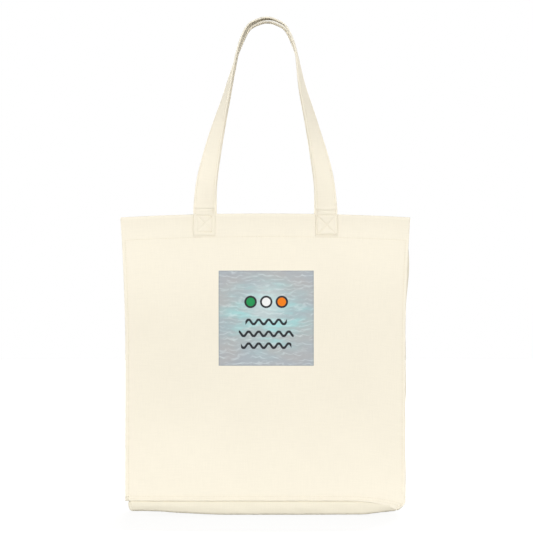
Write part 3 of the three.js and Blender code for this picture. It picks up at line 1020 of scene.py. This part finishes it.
def strap_surface(route, seed):
    """Rings of points along a strap that is pressed flat, sewn and creased at both ends."""
    line, _, outer, side = route
    run = along_line(line)
    height = line[:, 2] - FOLD_Z
    thick = mix(SEWN_THICK, STRAP_THICK, smooth(height / (12 * MM)))
    end = np.minimum(run, run[-1] - run)
    thick = thick * mix(0.4, 1, smooth(end / (3.5 * MM)))
    points = []
    for w, n, face in strap_ring():
        row = np.abs(np.abs(w) - STRAP_ROW)
        loose = smooth((height + 2 * MM) / (8 * MM))
        off = n * thick / 2 + face * loose * (0.12 * MM - 0.30 * MM * bump(row, 0, 0.75 * MM))
        pucker = ripples(run, run * 0, 8 * MM, seed + (face > 0), 6) * bump(row, 0, 4 * MM)
        off = off + face * loose * 0.12 * MM * pucker
        sideways = w + 0.35 * MM * ripples(run, run * 0, 60 * MM, seed + 5, 5)
        # The open edge of the folded strap shows a groove between its layers.
        if face == 0 and w < 0:
            sideways = sideways + 0.45 * MM * bump(n, 0, 0.3)
        for which in (-1, 1):
            here = np.sign(line[:, 0]) == which
            off = off + here * crease(height, w, which)
            if face > 0:
                sewn = np.nonzero(here & (height < 2 * MM))[0]
                off[sewn] -= sewing_depth(line[sewn, 0] + w, line[sewn, 2])
        cup = 0.3 * MM * (1 - (w / STRAP_HALF) ** 2) * smooth(height / 0.03)
        settle = 0.5 * MM * (1 - smooth(end / (4 * MM)))
        off = off + cup - settle
        points.append(line + side * np.reshape(sideways, (-1, 1)) + outer * np.reshape(off, (-1, 1)))
    return np.stack(points, axis=1), run


def add_handle(name, turn, skin, seed, material):
    """A strap and its two rows of sewing. Its ends lie sewn on the bag."""
    route = strap_route(half_round(skin, turn), turn)
    points, run = strap_surface(route, seed)
    if turn:
        points = turned_half(points)
    rows, ring = points.shape[:2]
    faces = grid_faces(rows, ring, close=True).tolist()
    faces += [list(range(ring))[::-1], list(range((rows - 1) * ring, rows * ring))]
    girth = metres_along(points, 1).mean(axis=0)
    uv = np.stack(np.broadcast_arrays(girth, run[:, None]), axis=-1)
    strap = new_mesh(f"{name}_handle_strap", points, faces, material, uv)
    fold_y = -FOLD_Y if turn else FOLD_Y
    start, end = (0, fold_y, FOLD_Z), (0, fold_y, FOLD_Z + BEND)
    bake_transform(strap)
    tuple(start)
    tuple(end)
    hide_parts(f"{name}_handle", f"{name}_handle_left_end", f"{name}_handle_right_end")
    for word, edge in (("outer", 1), ("inner", -1)):
        sewing = stitch_mesh(f"{name}_handle_{word}_stitches", strap_rows(route, edge * STRAP_ROW, turn))
        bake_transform(sewing)
        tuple(start)
        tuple(end)
        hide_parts(f"{name}_handle_{word}_thread")


def strap_rows(route, offset, turn):
    """A row of stitches along the strap, on its outer and its inner face."""
    line, _, outer, side = route
    run = along_line(line)
    first = 31 * MM  # past the sewn end and its crease
    number = int((run[-1] - 2 * first) / STITCH_PITCH)
    at_run = np.linspace(first, run[-1] - first, number)

    def pick(values):
        return np.stack([np.interp(at_run, run, values[:, k]) for k in range(3)], axis=1)

    middle, normal, sideways = pick(line), unit(pick(outer)), unit(pick(side))
    direction = unit(np.gradient(middle + sideways * offset, axis=0))
    rows = []
    for face in (1, -1):
        off = face * (STRAP_THICK / 2 - 0.16 * MM)
        rows.append((middle + sideways * offset + normal * off, direction, normal * face))
    if turn:
        rows = [tuple(map(turned_half, row)) for row in rows]
    return rows


add_handle("front", False, front_skin, 83, strap_cloth)
add_handle("back", True, back_skin, 97, strap_cloth)


def foot_place(side, x0, x1, height):
    """The place across a panel of a line of box sewing."""
    return lambda t: (side * FOOT_X + mix(x0, x1, t)) / half_width(height(t))


def add_box_sewing(name, skin, turn):
    """Stitches round and across a strap's two sewn ends."""
    lift = SEWN_THICK - 0.22 * MM  # pulled in below the strap's face
    for side in (-1, 1):
        word = {-1: "left", 1: "right"}[-side if turn else side]
        rows = []
        for (x0, z0), (x1, z1) in box_lines(side):
            height = across(z0, z1)
            place = foot_place(side, x0, x1, height)
            rows.append(row_on_skin(skin, place, height, pitch=2.7 * MM, lift=lift))
        node = f"{name}_handle_{word}_box_stitch"
        add_stitches(f"{name}_{word}_box_stitches", rows, node, length=2.2 * MM)


add_box_sewing("front", front_skin, False)
add_box_sewing("back", back_skin, True)

# --- stage ---


def glowing(name, base, strength, tint=(1, 1, 1, 1)):
    """A floor that gives off light of its own, so that only a soft shadow is left on it."""
    n = Nodes(name)
    n.settings(("Base Color", (base, base, base, 1)), ("Roughness", 0.9), ("Specular IOR Level", 0.05),
               ("Emission Color", tint), ("Emission Strength", strength))
    return n.material


def add_disc(name, radius_x, radius_y, height, material):
    angle = np.linspace(0, 2 * math.pi, 97)[:-1]
    rim = stack(radius_x * np.cos(angle), radius_y * np.sin(angle), height)
    disc = new_mesh(name, rim, [range(len(rim))], material)
    return disc


def add_stage():
    """A wide pale floor, which lights nothing, and a small one at the bag's foot, which lights its base."""
    wide = add_disc("floor", 5, 5, -0.8 * MM, glowing("floor", base=0.35, strength=0.86))
    wide.visible_diffuse = False
    wide.visible_glossy = False
    warm = glowing("near_floor", base=0.10, strength=0.18, tint=(1, 0.95, 0.82, 1))
    near = add_disc("near_floor", 0.42, 0.24, -0.3 * MM, warm)
    near.visible_camera = False
    near.visible_shadow = False


def add_lamp(name, place, width, height, power):
    lamp = bpy.data.objects.new(name, bpy.data.lights.new(name, "AREA"))
    lamp.data.shape = "RECTANGLE"
    lamp.data.size = width
    lamp.data.size_y = height
    lamp.data.energy = power
    lamp.location = place
    back = np.array(place) - np.array(LAMP_AIM)
    flat = math.hypot(back[0], back[1])
    lamp.rotation_euler = (math.atan2(flat, back[2]), 0, math.atan2(back[0], -back[1]))
    bpy.context.scene.collection.objects.link(lamp)


def add_sky():
    """White behind the bag, and a soft light from all round that is weak and warm from below."""
    world = bpy.data.worlds.new("studio")
    bpy.context.scene.world = world
    world.use_nodes = True
    tree = world.node_tree
    tree.nodes.clear()
    kinds = ("OutputWorld", "MixShader", "Background", "Background", "LightPath", "TexCoord", "SeparateXYZ")
    out, choose, seen, light, path, place, split = [tree.nodes.new(f"ShaderNode{kind}") for kind in kinds]
    level, tint = tree.nodes.new("ShaderNodeMapRange"), tree.nodes.new("ShaderNodeMix")
    seen.inputs["Color"].default_value = (1, 1, 1, 1)
    for socket, value in zip(level.inputs[1:3], SKY_FADE):
        socket.default_value = value
    tint.data_type = "RGBA"
    tint.inputs[6].default_value = SKY_BELOW
    tint.inputs[7].default_value = SKY_ABOVE
    for source, target in (
        (place.outputs["Generated"], split.inputs[0]),
        (split.outputs[2], level.inputs[0]),
        (level.outputs[0], tint.inputs[0]),
        (tint.outputs[2], light.inputs["Color"]),
        (path.outputs["Is Camera Ray"], choose.inputs[0]),
        (light.outputs[0], choose.inputs[1]),
        (seen.outputs[0], choose.inputs[2]),
        (choose.outputs[0], out.inputs[0]),
    ):
        tree.links.new(source, target)


# Soft lamps that all face the bag's middle: name, place, width, height, watts.
LAMPS = (
    ("key", (-2.9, -5.0, 0.45), 2.6, 0.8, 140),
    ("fill", (2.9, -5.0, 0.45), 2.6, 0.8, 133),
    ("left_side", (-5.0, 0.7, 0.9), 2.0, 1.4, 72),
    ("right_side", (5.0, 0.7, 0.9), 2.0, 1.4, 58),
    ("back", (0.8, 4.6, 2.2), 2.6, 2.6, 130),
)
LAMP_AIM = (0, 0, 0.3)
SKY_BELOW, SKY_ABOVE = (0.05, 0.041, 0.022, 1), (0.66, 0.66, 0.66, 1)
SKY_FADE = (-0.35, 0.3)  # how far below and above level the sky changes from one to the other

add_stage()
add_sky()
for lamp_facts in LAMPS:
    add_lamp(*lamp_facts)
bpy.context.scene.view_settings.view_transform = "Standard"
